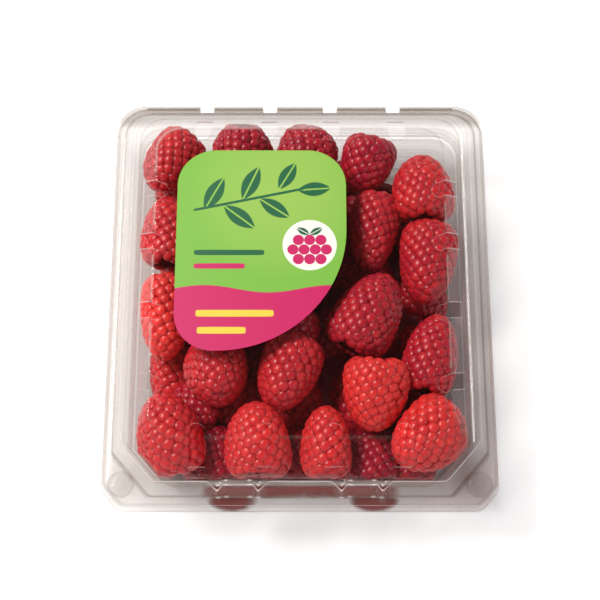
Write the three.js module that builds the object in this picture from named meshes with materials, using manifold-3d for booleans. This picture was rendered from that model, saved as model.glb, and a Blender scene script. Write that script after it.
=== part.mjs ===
// A hinged clear plastic punnet of raspberries: a tray, a lid that swings on the tray's back edge,
// a printed label on the lid and the heap of berries inside. Millimetres, +Z up, front towards -Y.
import * as THREE from 'three';
import { mergeVertices } from 'three/addons/utils/BufferGeometryUtils.js';
import Module from 'manifold-3d';

// Driving dimensions of the pack
const PACK_WIDTH = 121;
const PACK_FRONT = -67;
const PACK_BACK = 68.15;
const FLANGE_TOP = 28;
const LID_RISE = 16;
const LEDGE_RISE = 7;
const SHEET = 0.8;
const FIT_GAP = 0.3;
const HINGE_GAP = 0.15;
const PRESS_GAP = 0.4;
const LEDGE_ROOM = 2;

// Front corners are cut off at a slant, a little longer along the side than along the front. The cut
// shrinks by CUT_SHRINK for each millimetre of inset. Back corners are round.
const FLANGE_CUT = 5.5;
const WALL_CUT = 13.6;
const CUT_STRETCH = 1.15;
const SLANT = Math.atan(1 / CUT_STRETCH);
const FLANGE_ROUND = 9;
const WALL_ROUND = 8;
const CUT_SHRINK = 1 - (1 - Math.sin(SLANT)) / Math.cos(SLANT);
const FILLET = 2;
const FLANGE_FILLET = 4;
const ARC_STEPS = 5;
const FILLET_STEPS = 2;

// Heights worked out from the driving dimensions
const LID_FLANGE_LOW = FLANGE_TOP - SHEET;
const TRAY_FLANGE_TOP = LID_FLANGE_LOW - FIT_GAP;
const TRAY_FLANGE_LOW = TRAY_FLANGE_TOP - SHEET;
const LEDGE_TOP = FLANGE_TOP + LEDGE_RISE;
const LID_TOP = FLANGE_TOP + LID_RISE;
const SKIRT_DROP = 4.7;
const SKIRT_FLARE = 1;

// Tray from the middle of its floor outwards and up: inset from the flange's edge, height, and how
// far in and up the inner face lies from there
const TRAY_PROFILE = [
  { inset: 22, z: 2, inward: -SHEET / 2, up: SHEET },
  { inset: 20, z: 0, inward: -SHEET / 2, up: SHEET },
  { inset: 13.4, z: 0, inward: SHEET / 2, up: SHEET },
  { inset: 11.2, z: 2.4, inward: SHEET, up: 0.5 },
  { inset: 8.9, z: 21.4, inward: SHEET, up: 0.2 },
  { inset: 7.9, z: 22.4, inward: SHEET, up: 0.2 },
];
const MOUTH_INSET = 7.4;
const SKIRT_HEAD = [0.9, 0.9, 1.1];
const SKIRT_FOOT = [0.8, 0.8, 0.7];

// Lid from its foot on the flange up to the panel, as insets at the side, the front and the back
const LID_FOOT = 2.8;
const LEDGE_OUTER = 5.7;
const LEDGE_INNER = 7.1;
const SLOPE_FOOT = [8.6, 7.8, 7.7];
const PANEL_EDGE = [14.6, 17.1, 15.7];
const LEDGE_DIP = 0.6;

// Vents, hinge windows, snaps and corner buttons
const VENT_WIDTH = 5.2;
const VENT_SKEW = 3.5;
const VENT_INWARD = 4.4;
const SIDE_VENT_LENGTH = 9.2;
const BACK_VENT_LENGTH = 9.6;
const FRONT_VENT_LENGTH = 11.6;
const VENT_CUT_HEIGHT = 20;
const VENT_CUT_START = 2;
const SIDE_VENTS = [30.5, 12.5, -10.5, -33.5];
const END_VENTS = [-31, -10, 10, 31];
const WINDOW_WIDTH = 4.4;
const WINDOW_DEPTH = 2.4;
const WINDOW_CUT_HEIGHT = 7;
const SNAP_CENTRES = [-18.7, 18.7];
const SNAP_WIDTH = 13;
const SNAP_DEPTH = 3;
const SNAP_RISE = 3.6;
const SNAP_TAPER = 1.4;
const SNAP_BACK = 1.2;
const BUTTON_PLACE = [54.6, -60.6];
const BUTTON_RADIUS = 4.2;
const BUTTON_RISE = 1.2;
const BUTTON_TAPER = 0.8;
const BUTTON_SIDES = 14;
const ROOT = 0.3;

// Label, a rounded tag with one corner swept away
const LABEL_LOW_X = -38.6;
const LABEL_HIGH_X = 14.5;
const LABEL_LOW_Y = -23;
const LABEL_HIGH_Y = 44;
const LABEL_ROUND = 12;
const LABEL_SWEEP = 40;
const LABEL_THICK = 0.2;

// Berries: ten columns of drupelets in seven rings, standing a little proud and sunk in turn
const BERRY_COLUMNS = 10;
const BERRY_RINGS = 7;
const DRUPELET_RELIEF = 0.045;
const BERRY_FULLNESS = 2.3;
const BERRY_TAPER = 0.16;
const WIDEST_AT = -0.2;

// Berries that show, as [x, y, z, width, length, tip azimuth, tip lift]
const TOP_BERRIES = [
  [-42.3, 47.2, 28.6, 18, 23, 237, 5],
  [-20, 50, 29, 19.5, 20, 230, 10],
  [1.2, 48.6, 29, 20, 20, 240, 10],
  [21.9, 45.6, 30.5, 18.5, 20, 255, -20],
  [40, 37.3, 29.5, 21, 23, 92, 8],
  [-42.6, 22.4, 28.4, 17.5, 25, 92, 0],
  [-42.4, -6.9, 28.6, 17.5, 28.5, 268, 0],
  [-40.4, -44.6, 28.6, 21.5, 26, 105, 30],
  [-26, -25.8, 29, 21.5, 22, 275, 35],
  [-4, -25.7, 30.5, 20, 25.5, 252, 5],
  [-13, -46.8, 28.6, 21, 24.5, 94, 28],
  [8, -47.2, 27.6, 16.5, 23, 91, 25],
  [39, -46, 29, 22, 24.5, 218, 8],
  [23.2, -32.6, 31, 20.5, 24, 266, -18],
  [41.2, -19.3, 28.6, 18.2, 27, 76, 5],
  [40.8, 11.6, 28.6, 19.6, 28, 264, 0],
  [21.8, -6.6, 31, 22, 28.5, 62, 6],
  [23.8, 22.6, 28, 16.5, 27.5, 262, -4],
];

// Berries under the label
const LABELLED_BERRIES = [
  [-24, 30.5, 28.6, 20, 23, 205, 0],
  [-1, 28.5, 29, 21, 24, 15, 10],
  [-24.5, 11.5, 29.4, 20, 22, 100, 5],
  [-1.5, 9, 29, 20.5, 24, 185, 0],
  [-25, -7, 28.8, 19, 21, 30, 10],
  [-3.5, -8.6, 28.4, 18.5, 21, 340, 0],
];

// Berries of the lower layer, along the walls and in the gaps of the upper one
const LOWER_BERRIES = [
  [-41, -22, 12, 17, 21, 265, 0],
  [-33, -33, 15, 18, 20, 140, 0],
  [-27, -49, 16, 18, 21, 75, 5],
  [-42, -42, 10, 17, 22, 290, 0],
  [-14, -49.5, 10.5, 17, 20, 80, 0],
  [-1.5, -49, 15.5, 17, 20, 100, 5],
  [10, -49.5, 10.5, 17, 20, 275, 0],
  [22.5, -49, 15.5, 18, 21, 85, 5],
  [34, -48, 10.5, 17, 20, 100, 0],
  [42.5, -38, 10.5, 17, 22, 60, 0],
  [40, -16, 11.4, 18, 24, 275, 0],
  [40, 9, 11, 18, 23, 88, 0],
  [39.5, 28, 13, 18, 22, 80, 10],
  [12.6, 47, 11.4, 18.5, 23, 10, 0],
  [-12.5, 47.5, 11.4, 18.5, 23, 195, 0],
  [-37.8, 45, 11.4, 18.5, 22, 60, 0],
  [-40.5, 22, 11.4, 17.5, 22, 275, 0],
  [-40.5, 0, 11.4, 17.5, 22, 95, 0],
  [6.5, -9, 14, 18, 21, 200, 5],
  [-15, -16, 13, 18, 21, 100, 0],
  [14, 14, 13, 18, 22, 300, 0],
];

// The mass of berries that the outer ones lie on, cut back at the free corner of the tray
const CORE_OUTLINE = [
  [-41, -50], [30, -50], [41, -40], [41, 36], [28, 50], [-41, 50],
];
const CORE_LOW = 5;
const CORE_HIGH = 27;

const wasm = await Module();
wasm.setup();

function toSolid(geometry) {
  const bare = geometry.clone();
  bare.deleteAttribute('normal');
  bare.deleteAttribute('uv');
  const merged = mergeVertices(bare, 1e-4);
  const mesh = new wasm.Mesh({
    numProp: 3,
    vertProperties: new Float32Array(merged.attributes.position.array),
    triVerts: new Uint32Array(merged.index.array),
  });
  return new wasm.Manifold(mesh);
}

function toGeometry(solid) {
  const mesh = solid.getMesh();
  const geometry = new THREE.BufferGeometry();
  geometry.setAttribute('position', new THREE.BufferAttribute(new Float32Array(mesh.vertProperties), 3));
  geometry.setIndex(new THREE.BufferAttribute(new Uint32Array(mesh.triVerts), 1));
  geometry.computeVertexNormals();
  return geometry;
}

// An arc between two straight edges of an outline, with the share of the turn made so far
function roundCorner(centre, radius, fromDeg, toDeg, steps) {
  const points = [];
  for (let i = 0; i <= steps; i += 1) {
    const share = i / steps;
    const angle = THREE.MathUtils.degToRad(THREE.MathUtils.lerp(fromDeg, toDeg, share));
    const x = centre[0] + radius * Math.cos(angle);
    const y = centre[1] + radius * Math.sin(angle);
    points.push({ x, y, share });
  }
  return points;
}

// One side's slanted front corner: two small bends, in order from the side to the front
function slantCorner(halfWidth, front, cut, fillet) {
  const turn = THREE.MathUtils.radToDeg(SLANT);
  const sideReach = fillet * Math.tan(SLANT / 2);
  const frontReach = fillet * Math.tan(Math.PI / 4 - SLANT / 2);
  const upper = [halfWidth - fillet, front + cut * CUT_STRETCH + sideReach];
  const lower = [halfWidth - cut - frontReach, front + fillet];
  return [
    ...roundCorner(upper, fillet, 0, -turn, FILLET_STEPS),
    ...roundCorner(lower, fillet, -turn, -90, FILLET_STEPS),
  ];
}

// Closed outline at one level of the pack, anticlockwise from above, starting on the right at the back.
// inset is [side, front, back]; low is how far the level drops away from the hinge.
function ring({ inset, z, cut = WALL_CUT, round = WALL_ROUND, fillet = FILLET, low = 0, flare = 0 }) {
  const [side, front, back] = Array.isArray(inset) ? inset : [inset, inset, inset];
  const halfWidth = PACK_WIDTH / 2 - side;
  const frontY = PACK_FRONT + front;
  const backY = PACK_BACK - back;
  const leg = Math.max(cut - CUT_SHRINK * side, fillet);
  const backCentre = [halfWidth - round, backY - round];
  const right = [
    ...roundCorner(backCentre, round, 90, 0, ARC_STEPS).map((p) => ({ ...p, drop: p.share })),
    ...slantCorner(halfWidth, frontY, leg, fillet).map((p) => ({ ...p, drop: 1 })),
  ];
  const left = right.map((p) => ({ ...p, x: -p.x })).reverse();
  const clockwise = [...right, ...left];
  const wider = (p) => p.x * (1 + (flare * p.drop) / halfWidth);
  const deeper = (p) => p.y * (1 - (flare * p.drop) / frontY);
  return clockwise.reverse().map((p) => new THREE.Vector3(wider(p), deeper(p), z - low * p.drop));
}

// The flanges and the skirt share one outline with wider corners
const FLANGE = { cut: FLANGE_CUT, round: FLANGE_ROUND, fillet: FLANGE_FILLET };
const FLANGE_EDGE = [0, 0, HINGE_GAP];

function deeperInset(inset, more) {
  return inset.map((side) => side + more);
}

// A closed skin through a run of like outlines, capped at its first and last one
function loft(rings) {
  const count = rings[0].length;
  const positions = [];
  rings.flat().forEach((p) => positions.push(p.x, p.y, p.z));
  const index = [];
  for (let level = 0; level + 1 < rings.length; level += 1) {
    for (let i = 0; i < count; i += 1) {
      const a = level * count + i;
      const b = level * count + ((i + 1) % count);
      index.push(a, b, b + count, a, b + count, a + count);
    }
  }
  [rings.length - 1, 0].forEach((level) => {
    const outline = rings[level].map((p) => new THREE.Vector2(p.x, p.y));
    THREE.ShapeUtils.triangulateShape(outline, []).forEach(([a, b, c]) => {
      const face = level === 0 ? [c, b, a] : [a, b, c];
      index.push(...face.map((corner) => level * count + corner));
    });
  });
  const geometry = new THREE.BufferGeometry();
  geometry.setAttribute('position', new THREE.Float32BufferAttribute(positions, 3));
  geometry.setIndex(index);
  return geometry;
}

function makeTray() {
  const skirt = { low: SKIRT_DROP - SHEET, flare: SKIRT_FLARE, ...FLANGE };
  const inner = TRAY_PROFILE.map(({ inset, z, inward, up }) => ring({ inset: inset + inward, z: z + up }));
  const skin = [
    ...TRAY_PROFILE.map(({ inset, z }) => ring({ inset, z })),
    ring({ inset: MOUTH_INSET, z: TRAY_FLANGE_LOW }),
    ring({ inset: SKIRT_HEAD, z: TRAY_FLANGE_LOW, ...FLANGE }),
    ring({ inset: SKIRT_FOOT, z: TRAY_FLANGE_LOW, ...skirt }),
    ring({ inset: FLANGE_EDGE, z: TRAY_FLANGE_LOW, ...skirt }),
    ring({ inset: FLANGE_EDGE, z: TRAY_FLANGE_TOP, ...FLANGE }),
    ring({ inset: MOUTH_INSET + SHEET, z: TRAY_FLANGE_TOP }),
    ...inner.reverse(),
  ];
  let tray = toSolid(loft(skin));
  windowCutters().forEach((cutter) => {
    tray = tray.subtract(cutter);
  });
  return toGeometry(tray);
}

function makeLid() {
  const ledgeMiddle = (LEDGE_OUTER + LEDGE_INNER) / 2;
  const slopeFoot = LEDGE_TOP - LEDGE_DIP;
  const skin = [
    ring({ inset: deeperInset(PANEL_EDGE, SHEET), z: LID_TOP - SHEET }),
    ring({ inset: deeperInset(SLOPE_FOOT, SHEET), z: slopeFoot - SHEET }),
    ring({ inset: ledgeMiddle, z: LEDGE_TOP - SHEET }),
    ring({ inset: LID_FOOT + SHEET, z: LID_FLANGE_LOW }),
    ring({ inset: FLANGE_EDGE, z: LID_FLANGE_LOW, ...FLANGE }),
    ring({ inset: FLANGE_EDGE, z: FLANGE_TOP, ...FLANGE }),
    ring({ inset: LID_FOOT, z: FLANGE_TOP }),
    ring({ inset: LEDGE_OUTER, z: LEDGE_TOP }),
    ring({ inset: LEDGE_INNER, z: LEDGE_TOP }),
    ring({ inset: SLOPE_FOOT, z: slopeFoot }),
    ring({ inset: PANEL_EDGE, z: LID_TOP }),
  ];
  let lid = toSolid(loft(skin));
  SNAP_CENTRES.forEach((x) => {
    lid = lid.add(snapLug(x));
  });
  [-1, 1].forEach((side) => {
    lid = lid.add(cornerButton(side));
  });
  [...ventCutters(), ...windowCutters()].forEach((cutter) => {
    lid = lid.subtract(cutter);
  });
  return toGeometry(lid);
}

// Windows punched through the hinge strip, half in the tray's flange and half in the lid's
function windowCutters() {
  return END_VENTS.map((x) => {
    const box = new THREE.BoxGeometry(WINDOW_WIDTH, 2 * WINDOW_DEPTH, WINDOW_CUT_HEIGHT);
    box.translate(x, PACK_BACK, FLANGE_TOP - SHEET);
    return toSolid(box);
  });
}

// A slot with one round end, drawn from its inner end outwards along +Y, then turned into place
function ventCutter(inner, length, skew, angleDeg, place) {
  const half = VENT_WIDTH / 2;
  const shape = new THREE.Shape();
  shape.moveTo(half + skew, inner + length);
  shape.lineTo(-half + skew, inner + length);
  shape.lineTo(-half, inner + half);
  shape.absarc(0, inner + half, half, Math.PI, 2 * Math.PI, false);
  const options = { depth: VENT_CUT_HEIGHT, bevelEnabled: false, curveSegments: 6 };
  const prism = new THREE.ExtrudeGeometry(shape, options);
  prism.rotateZ(THREE.MathUtils.degToRad(angleDeg));
  prism.translate(place[0], place[1], LEDGE_TOP - VENT_CUT_START);
  return toSolid(prism);
}

// Vents run from the panel's edge down the slope, outwards from a little way inside the edge
function ventCutters() {
  const [side, front, back] = deeperInset(PANEL_EDGE, VENT_INWARD);
  const cutters = [];
  SIDE_VENTS.forEach((y) => {
    cutters.push(ventCutter(PACK_WIDTH / 2 - side, SIDE_VENT_LENGTH, -VENT_SKEW, -90, [0, y]));
    cutters.push(ventCutter(PACK_WIDTH / 2 - side, SIDE_VENT_LENGTH, VENT_SKEW, 90, [0, y]));
  });
  END_VENTS.forEach((x) => {
    cutters.push(ventCutter(PACK_BACK - back, BACK_VENT_LENGTH, 0, 0, [x, 0]));
    cutters.push(ventCutter(-PACK_FRONT - front, FRONT_VENT_LENGTH, 0, 180, [x, 0]));
  });
  return cutters;
}

// A snap lug on the lid's front wall, wider at its foot, that clicks behind the tray's edge
function snapLug(x) {
  const half = SNAP_WIDTH / 2;
  const shape = new THREE.Shape();
  shape.moveTo(-half, 0);
  shape.lineTo(half, 0);
  shape.lineTo(half - SNAP_TAPER, SNAP_RISE);
  shape.lineTo(-half + SNAP_TAPER, SNAP_RISE);
  const block = new THREE.ExtrudeGeometry(shape, { depth: SNAP_DEPTH, bevelEnabled: false });
  block.rotateX(Math.PI / 2);
  block.translate(x, PACK_FRONT + SNAP_BACK + SNAP_DEPTH, FLANGE_TOP - ROOT);
  return toSolid(block);
}

function cornerButton(side) {
  const height = BUTTON_RISE + ROOT;
  const disc = new THREE.CylinderGeometry(BUTTON_RADIUS - BUTTON_TAPER, BUTTON_RADIUS, height, BUTTON_SIDES);
  disc.rotateX(Math.PI / 2);
  disc.translate(side * BUTTON_PLACE[0], BUTTON_PLACE[1], FLANGE_TOP + (BUTTON_RISE - ROOT) / 2);
  return toSolid(disc);
}

function makeLabel() {
  const shape = new THREE.Shape();
  const round = LABEL_ROUND;
  shape.moveTo(LABEL_LOW_X + round, LABEL_LOW_Y);
  shape.lineTo(LABEL_HIGH_X - LABEL_SWEEP, LABEL_LOW_Y);
  shape.absarc(LABEL_HIGH_X - LABEL_SWEEP, LABEL_LOW_Y + LABEL_SWEEP, LABEL_SWEEP, -Math.PI / 2, 0, false);
  shape.lineTo(LABEL_HIGH_X, LABEL_HIGH_Y - round);
  shape.absarc(LABEL_HIGH_X - round, LABEL_HIGH_Y - round, round, 0, Math.PI / 2, false);
  shape.lineTo(LABEL_LOW_X + round, LABEL_HIGH_Y);
  shape.absarc(LABEL_LOW_X + round, LABEL_HIGH_Y - round, round, Math.PI / 2, Math.PI, false);
  shape.lineTo(LABEL_LOW_X, LABEL_LOW_Y + round);
  shape.absarc(LABEL_LOW_X + round, LABEL_LOW_Y + round, round, Math.PI, 1.5 * Math.PI, false);
  const options = { depth: LABEL_THICK, bevelEnabled: false, curveSegments: 7 };
  const plate = new THREE.ExtrudeGeometry(shape, options);
  plate.translate(0, 0, LID_TOP + FIT_GAP);
  return plate;
}

// One berry: a blunt egg whose drupelets stand out and in, column by column, turned towards its tip.
// azimuth is the tip's direction seen from above (0 is +X), lift is how far the tip points upwards.
function makeBerry([x, y, z, width, length, azimuth, lift]) {
  const positions = [];
  const index = [];
  const addPoint = (radius, along, angle) => {
    positions.push(along, radius * Math.cos(angle), radius * Math.sin(angle));
  };
  addPoint(0, -length / 2, 0);
  for (let level = 1; level <= BERRY_RINGS; level += 1) {
    const turn = (Math.PI * level) / (BERRY_RINGS + 1);
    const along = -Math.cos(turn);
    const full = (1 - Math.abs(along) ** BERRY_FULLNESS) ** (1 / BERRY_FULLNESS);
    const taper = 1 - BERRY_TAPER * (along - WIDEST_AT);
    for (let column = 0; column < BERRY_COLUMNS; column += 1) {
      const relief = 1 + DRUPELET_RELIEF * ((level + column) % 2 ? 1 : -1);
      const angle = (2 * Math.PI * column) / BERRY_COLUMNS;
      addPoint((width / 2) * full * taper * relief, (length / 2) * along, angle);
    }
  }
  addPoint(0, length / 2, 0);
  const tip = 1 + BERRY_RINGS * BERRY_COLUMNS;
  for (let column = 0; column < BERRY_COLUMNS; column += 1) {
    const next = (column + 1) % BERRY_COLUMNS;
    index.push(0, 1 + next, 1 + column);
    for (let level = 0; level + 1 < BERRY_RINGS; level += 1) {
      const a = 1 + level * BERRY_COLUMNS + column;
      const b = 1 + level * BERRY_COLUMNS + next;
      index.push(a, b, b + BERRY_COLUMNS, a, b + BERRY_COLUMNS, a + BERRY_COLUMNS);
    }
    index.push(tip - BERRY_COLUMNS + column, tip - BERRY_COLUMNS + next, tip);
  }
  const geometry = new THREE.BufferGeometry();
  geometry.setAttribute('position', new THREE.Float32BufferAttribute(positions, 3));
  geometry.setIndex(index);
  geometry.rotateY(THREE.MathUtils.degToRad(-lift));
  geometry.rotateZ(THREE.MathUtils.degToRad(azimuth));
  geometry.translate(x, y, z);
  return toSolid(geometry);
}

// The space inside the shut pack: berries pressed against the clear sheet lie flat along it
function makeRoom() {
  const tray = TRAY_PROFILE.map(({ inset, z, inward, up }) => {
    const reach = 1 + PRESS_GAP / Math.hypot(inward, up);
    return ring({ inset: inset + inward * reach, z: z + up * reach });
  });
  const slopeLow = LEDGE_TOP - LEDGE_DIP - SHEET - PRESS_GAP;
  const room = [
    ...tray,
    ring({ inset: MOUTH_INSET + SHEET + PRESS_GAP, z: TRAY_FLANGE_TOP }),
    ring({ inset: MOUTH_INSET + 2 * SHEET, z: FLANGE_TOP + LEDGE_ROOM }),
    ring({ inset: deeperInset(SLOPE_FOOT, SHEET + PRESS_GAP), z: slopeLow }),
    ring({ inset: deeperInset(PANEL_EDGE, SHEET + PRESS_GAP), z: LID_TOP - SHEET - PRESS_GAP }),
  ];
  return toSolid(loft(room));
}

function makeHeap() {
  const shape = new THREE.Shape(CORE_OUTLINE.map(([x, y]) => new THREE.Vector2(x, y)));
  const slab = new THREE.ExtrudeGeometry(shape, { depth: CORE_HIGH - CORE_LOW, bevelEnabled: false });
  slab.translate(0, 0, CORE_LOW);
  let heap = toSolid(slab);
  [...TOP_BERRIES, ...LABELLED_BERRIES, ...LOWER_BERRIES].forEach((place) => {
    heap = heap.add(makeBerry(place));
  });
  heap = heap.intersect(makeRoom());
  const pieces = heap.decompose().sort((a, b) => b.volume() - a.volume());
  return toGeometry(pieces[0]);
}

const CLEAR_PLASTIC = { color: 0xeef1f0, roughness: 0.08, metalness: 0, transparent: true, opacity: 0.3 };

const part = new THREE.Group();

function addPiece(name, geometry, looks) {
  const mesh = new THREE.Mesh(geometry, new THREE.MeshStandardMaterial(looks));
  mesh.name = name;
  part.add(mesh);
}

addPiece('tray', makeTray(), CLEAR_PLASTIC);
addPiece('lid', makeLid(), CLEAR_PLASTIC);
addPiece('label', makeLabel(), { color: 0x93c83e, roughness: 0.45, metalness: 0 });
addPiece('raspberries', makeHeap(), { color: 0xb3202c, roughness: 0.4, metalness: 0 });

export default part;
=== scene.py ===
import math
import random

import bmesh
import bpy
import numpy as np
from mathutils import Matrix, Vector, noise


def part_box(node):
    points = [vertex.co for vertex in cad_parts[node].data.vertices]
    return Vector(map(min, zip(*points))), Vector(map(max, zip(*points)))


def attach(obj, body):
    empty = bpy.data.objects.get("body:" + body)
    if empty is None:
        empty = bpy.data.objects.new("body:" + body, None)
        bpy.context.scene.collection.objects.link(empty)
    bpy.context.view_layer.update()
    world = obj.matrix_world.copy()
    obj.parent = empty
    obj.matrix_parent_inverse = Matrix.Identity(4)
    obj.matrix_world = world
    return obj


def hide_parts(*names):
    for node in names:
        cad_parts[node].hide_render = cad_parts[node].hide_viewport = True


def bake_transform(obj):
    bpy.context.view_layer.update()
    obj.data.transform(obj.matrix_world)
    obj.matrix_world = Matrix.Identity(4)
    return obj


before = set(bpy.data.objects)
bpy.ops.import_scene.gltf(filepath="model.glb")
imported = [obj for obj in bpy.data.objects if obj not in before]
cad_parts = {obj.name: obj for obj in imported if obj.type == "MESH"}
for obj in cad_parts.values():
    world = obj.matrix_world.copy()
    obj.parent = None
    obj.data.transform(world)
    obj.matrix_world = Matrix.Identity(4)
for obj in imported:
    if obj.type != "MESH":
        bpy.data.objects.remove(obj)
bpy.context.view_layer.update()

# Camera, floor and light. The pack is seen from above and a little in front, on white paper with a
# painted glow round it and painted shade under it, lit by a long soft light from the upper left and a weak
# one from the right.
MM = 0.001
scene = bpy.context.scene
scene.view_settings.view_transform = "Standard"
scene.cycles.transparent_max_bounces = 32

TILT = math.radians(20)
AIM = Vector((0, -0.75, 28)) * MM
DISTANCE = 464.5 * MM
camera_data = bpy.data.cameras.new("camera")
camera_data.sensor_width = 36
camera_data.lens = 87.5
camera_data.clip_start = 0.01
camera = bpy.data.objects.new("camera", camera_data)
camera.location = AIM + DISTANCE * Vector((0, -math.sin(TILT), math.cos(TILT)))
camera.rotation_euler = (TILT, 0, 0)
scene.collection.objects.link(camera)
scene.camera = camera


class Wire:
    """One output of a shader tree. Sums written with it add Math nodes to the tree."""

    def __init__(self, finish, socket):
        self.finish = finish
        self.socket = socket

    def maths(self, operation, first, second=None):
        values = {0: first} if second is None else {0: first, 1: second}
        return self.finish.add("Math", {"operation": operation}, values)

    def __abs__(self):
        return self.maths("ABSOLUTE", self)

    def __add__(self, other):
        return self.maths("ADD", self, other)

    def __sub__(self, other):
        return self.maths("SUBTRACT", self, other)

    def __rsub__(self, other):
        return self.maths("SUBTRACT", other, self)

    def __mul__(self, other):
        return self.maths("MULTIPLY", self, other)

    def __truediv__(self, other):
        return self.maths("DIVIDE", self, other)

    def __pow__(self, other):
        return self.maths("POWER", self, other)

    def __gt__(self, other):
        return self.maths("GREATER_THAN", self, other)

    def clamp(self):
        return self.finish.add("Clamp", {}, {"Value": self})

    def rise(self, start, width):
        """0 up to the start, then up to 1 over the width."""
        return ((self - start) / width).clamp()

    def at_least(self, other):
        return self.maths("MAXIMUM", self, other)

    def sine(self):
        return self.maths("SINE", self)

    __radd__ = __add__
    __rmul__ = __mul__


class Finish:
    """A surface's material. add() makes any node and gives back one of its outputs."""

    def __init__(self, name, kind="materials"):
        self.material = getattr(bpy.data, kind).new(name)
        self.material.use_nodes = True
        self.tree = self.material.node_tree
        self.tree.nodes.clear()

    def add(self, kind, settings, values, output=0):
        node = self.tree.nodes.new("ShaderNode" + kind)
        for name, value in settings.items():
            if name == "stops":
                ramp = node.color_ramp.elements
                while len(ramp) < len(value):
                    ramp.new(0.5)
                for element, (place, colour) in zip(ramp, value):
                    element.position = place
                    element.color = (*colour, 1)
            else:
                setattr(node, name, value)
        for name, value in values.items():
            if isinstance(value, Wire):
                self.tree.links.new(value.socket, node.inputs[name])
            elif isinstance(value, tuple) and node.inputs[name].type == "RGBA":
                node.inputs[name].default_value = (*value, 1)
            else:
                node.inputs[name].default_value = value
        return Wire(self, node.outputs[output]) if node.outputs else None

    def mix(self, share, low, high):
        settings = {"data_type": "RGBA", "clamp_factor": True}
        return self.add("Mix", settings, {0: share, 6: low, 7: high}, 2)

    def attribute(self, name):
        return self.add("Attribute", {"attribute_name": name}, {}, "Fac")

    def place(self):
        return self.add("TexCoord", {}, {}, "Object")

    def noise(self, size, detail=2.0):
        values = {"Vector": self.place(), "Scale": 1 / size, "Detail": detail}
        return self.add("TexNoise", {}, values)

    def bump(self, height, depth, strength=1.0):
        return self.add("Bump", {}, {"Height": height, "Distance": depth, "Strength": strength})

    def shine(self, values):
        return self.add("BsdfPrincipled", {}, values)

    def show(self, shader):
        self.add("OutputMaterial", {}, {"Surface": shader})
        return self.material


def finished_piece(name, mesh, *materials):
    """Puts a mesh into the scene as one piece at the origin, with its materials."""
    piece = bpy.data.objects.new(name, mesh)
    for material in materials:
        mesh.materials.append(material)
    scene.collection.objects.link(piece)
    return piece


def mesh_of(bm, name):
    """Turns a mesh under edit into a finished one."""
    mesh = bpy.data.meshes.new(name)
    bm.to_mesh(mesh)
    bm.free()
    return mesh


def smooth(bm):
    for face in bm.faces:
        face.smooth = True


def add_light(name, place, width, height, power, colour):
    """An oblong soft light that faces the pack."""
    data = bpy.data.lights.new(name, "AREA")
    data.shape = "RECTANGLE"
    data.size = width
    data.size_y = height
    data.energy = power
    data.color = colour
    light = bpy.data.objects.new(name, data)
    light.location = place
    light.rotation_euler = (AIM - place).to_track_quat("-Z", "Y").to_euler()
    scene.collection.objects.link(light)


KEY_PLACE = Vector((-0.55, 0.26, 0.95))
FILL_PLACE = Vector((0.7, -0.7, 0.8))
add_light("key_light", KEY_PLACE, width=0.6, height=0.2, power=13.0, colour=(1.0, 0.97, 0.93))
add_light("fill_light", FILL_PLACE, width=0.5, height=0.5, power=1.6, colour=(0.95, 0.97, 1.0))

# The room is bright near the horizon and dim overhead, so that flat plastic doesn't mirror a white sky
ROOM_TONES = [(0.0, (0.9, 0.9, 0.9)), (0.45, (0.85, 0.87, 0.9)), (0.8, (0.12, 0.12, 0.13))]
room = Finish("room", "worlds")
height = room.add("SeparateXYZ", {}, {0: room.add("TexCoord", {}, {}, "Generated")}, 2)
glow = room.add("ValToRGB", {"stops": ROOM_TONES}, {0: height})
backdrop = room.add("Background", {}, {"Color": glow, "Strength": 0.7})
room.add("OutputWorld", {}, {"Surface": backdrop})
scene.world = room.material

# The paper glows round the pack, painted light that whitens its shadow; under the pack the glow fades out
# into painted shade
PAPER_HALF = 1.6
PAPER_DROP = 0.15 * MM
PAINTED_GLOW_STRENGTH = 0.7
PAPER_MOTTLE = 0.4
PAINTED_SHADE_HALF = (66 * MM, 67 * MM)
PAINTED_SHADE_MIDDLE = 3 * MM
PAINTED_SHADE_FADE = 12 * MM
paper_finish = Finish("white_paper")
paper_tone = paper_finish.mix(paper_finish.noise(PAPER_MOTTLE), (0.7, 0.7, 0.7), (0.74, 0.74, 0.74))
paper_x, paper_y = (paper_finish.add("SeparateXYZ", {}, {0: paper_finish.place()}, i) for i in range(2))
beyond = (abs(paper_x) - PAINTED_SHADE_HALF[0]).at_least(abs(paper_y - PAINTED_SHADE_MIDDLE) - PAINTED_SHADE_HALF[1])
outside_painted_shade = beyond.rise(-PAINTED_SHADE_FADE, PAINTED_SHADE_FADE)
painted_glow_colour = paper_finish.mix(outside_painted_shade, (0.0, 0.0, 0.0), paper_tone)
paper = bmesh.new()
bmesh.ops.create_grid(paper, x_segments=2, y_segments=2, size=PAPER_HALF)
bmesh.ops.translate(paper, verts=paper.verts, vec=(0, 0, -PAPER_DROP))
floor = finished_piece(
    "paper_floor",
    mesh_of(paper, "paper_floor"),
    paper_finish.show(
        paper_finish.shine(
            {
                "Base Color": paper_tone,
                "Roughness": 0.9,
                "Emission Color": painted_glow_colour,
                "Emission Strength": PAINTED_GLOW_STRENGTH,
            }
        )
    ),
)

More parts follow.
